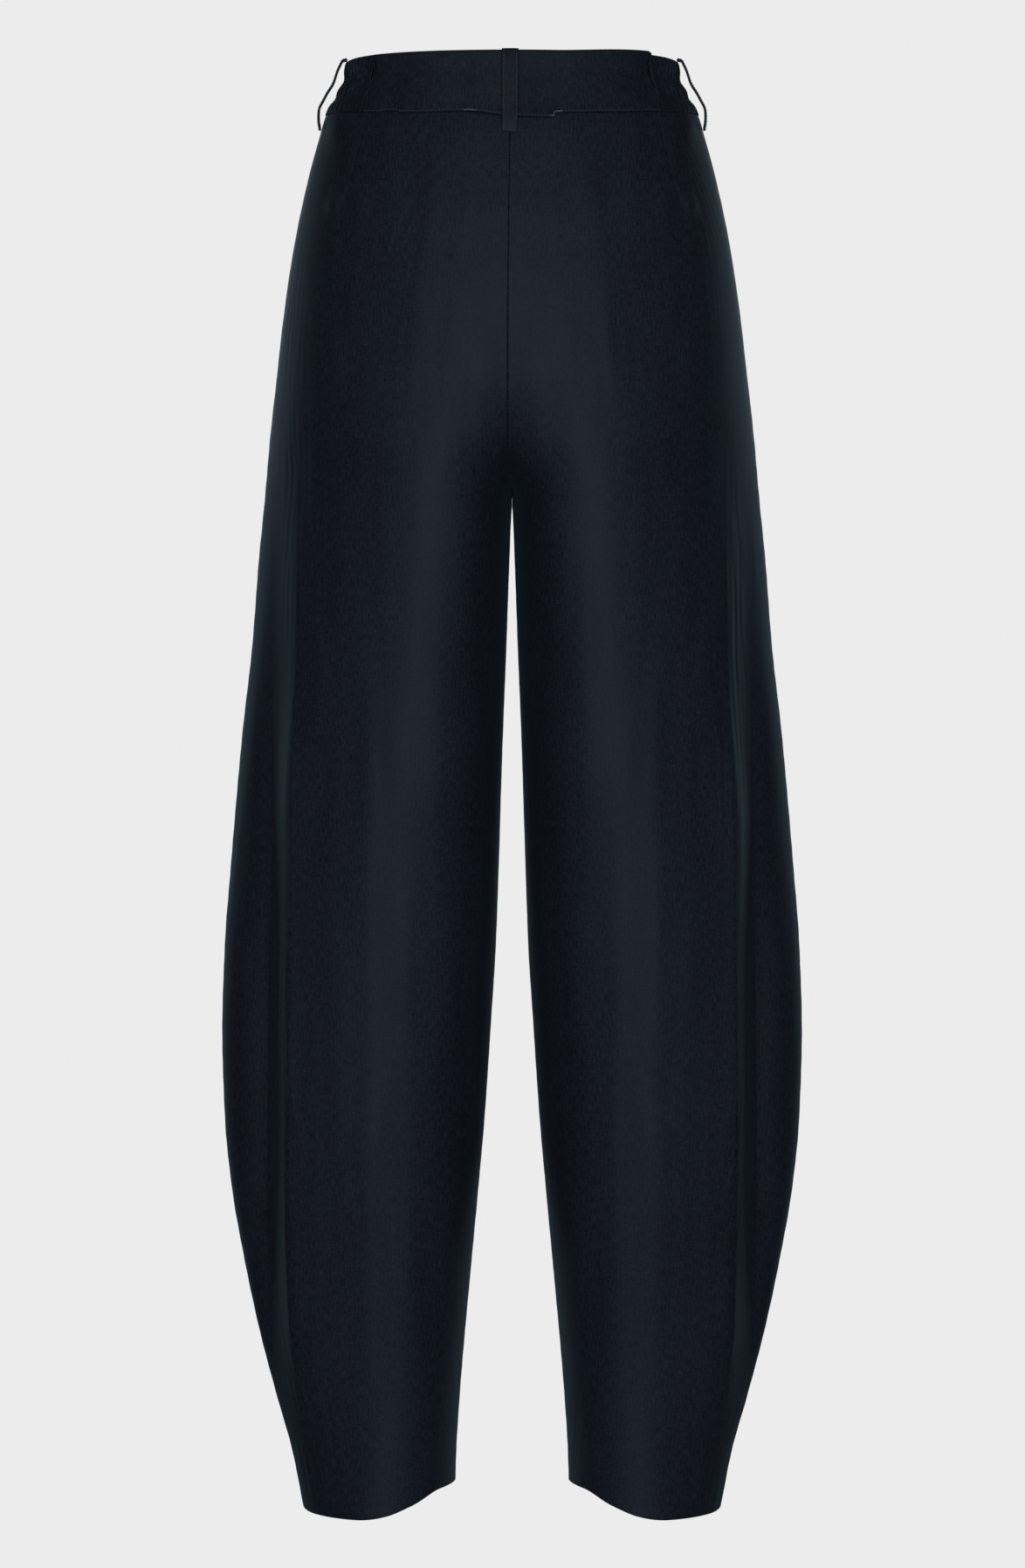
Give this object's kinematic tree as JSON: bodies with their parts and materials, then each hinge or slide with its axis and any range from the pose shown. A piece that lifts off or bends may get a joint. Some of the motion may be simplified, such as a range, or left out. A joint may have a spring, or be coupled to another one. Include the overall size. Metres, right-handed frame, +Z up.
{
  "type": "barrel leg trousers",
  "caption": "Worn-form high-waisted barrel leg trousers with gathered elastic side waist, belt loops and a centre back seam.",
  "frame": {"origin": "centre of the waist opening at the middle height of the waistband, where the wearer's waist holds the trousers", "axes": "+Z up, +Y to the wearer's front, +X to the wearer's right"},
  "size_m": [0.4138, 0.2539, 1.0365],
  "materials": {
    "cloth_back_left": "smooth navy twill weave with a faint sheen",
    "cloth_back_right": "smooth navy twill weave with a faint sheen",
    "cloth_front_left": "smooth navy twill weave with a faint sheen",
    "cloth_front_right": "smooth navy twill weave with a faint sheen",
    "cloth_band": "smooth navy weave, edge stitched",
    "cloth_elastic": "gathered navy weave over elastic",
    "cloth_lap": "smooth navy weave, topstitched",
    "cloth_loops": "folded navy weave, stitched down both edges"
  },
  "bodies": {
    "root": {"back_left": "cloth_back_left", "back_right": "cloth_back_right", "front_left": "cloth_front_left", "front_right": "cloth_front_right", "waistband_back": "cloth_band", "waistband_elastic_left": "cloth_elastic", "waistband_elastic_right": "cloth_elastic", "waistband_front_left": "cloth_band", "waistband_front_right": "cloth_band", "fly_lap": "cloth_lap", "belt_loop_back": "cloth_loops", "belt_loop_side_left": "cloth_loops", "belt_loop_side_right": "cloth_loops", "belt_loop_front_left": "cloth_loops", "belt_loop_front_right": "cloth_loops"}
  },
  "joints": []
}
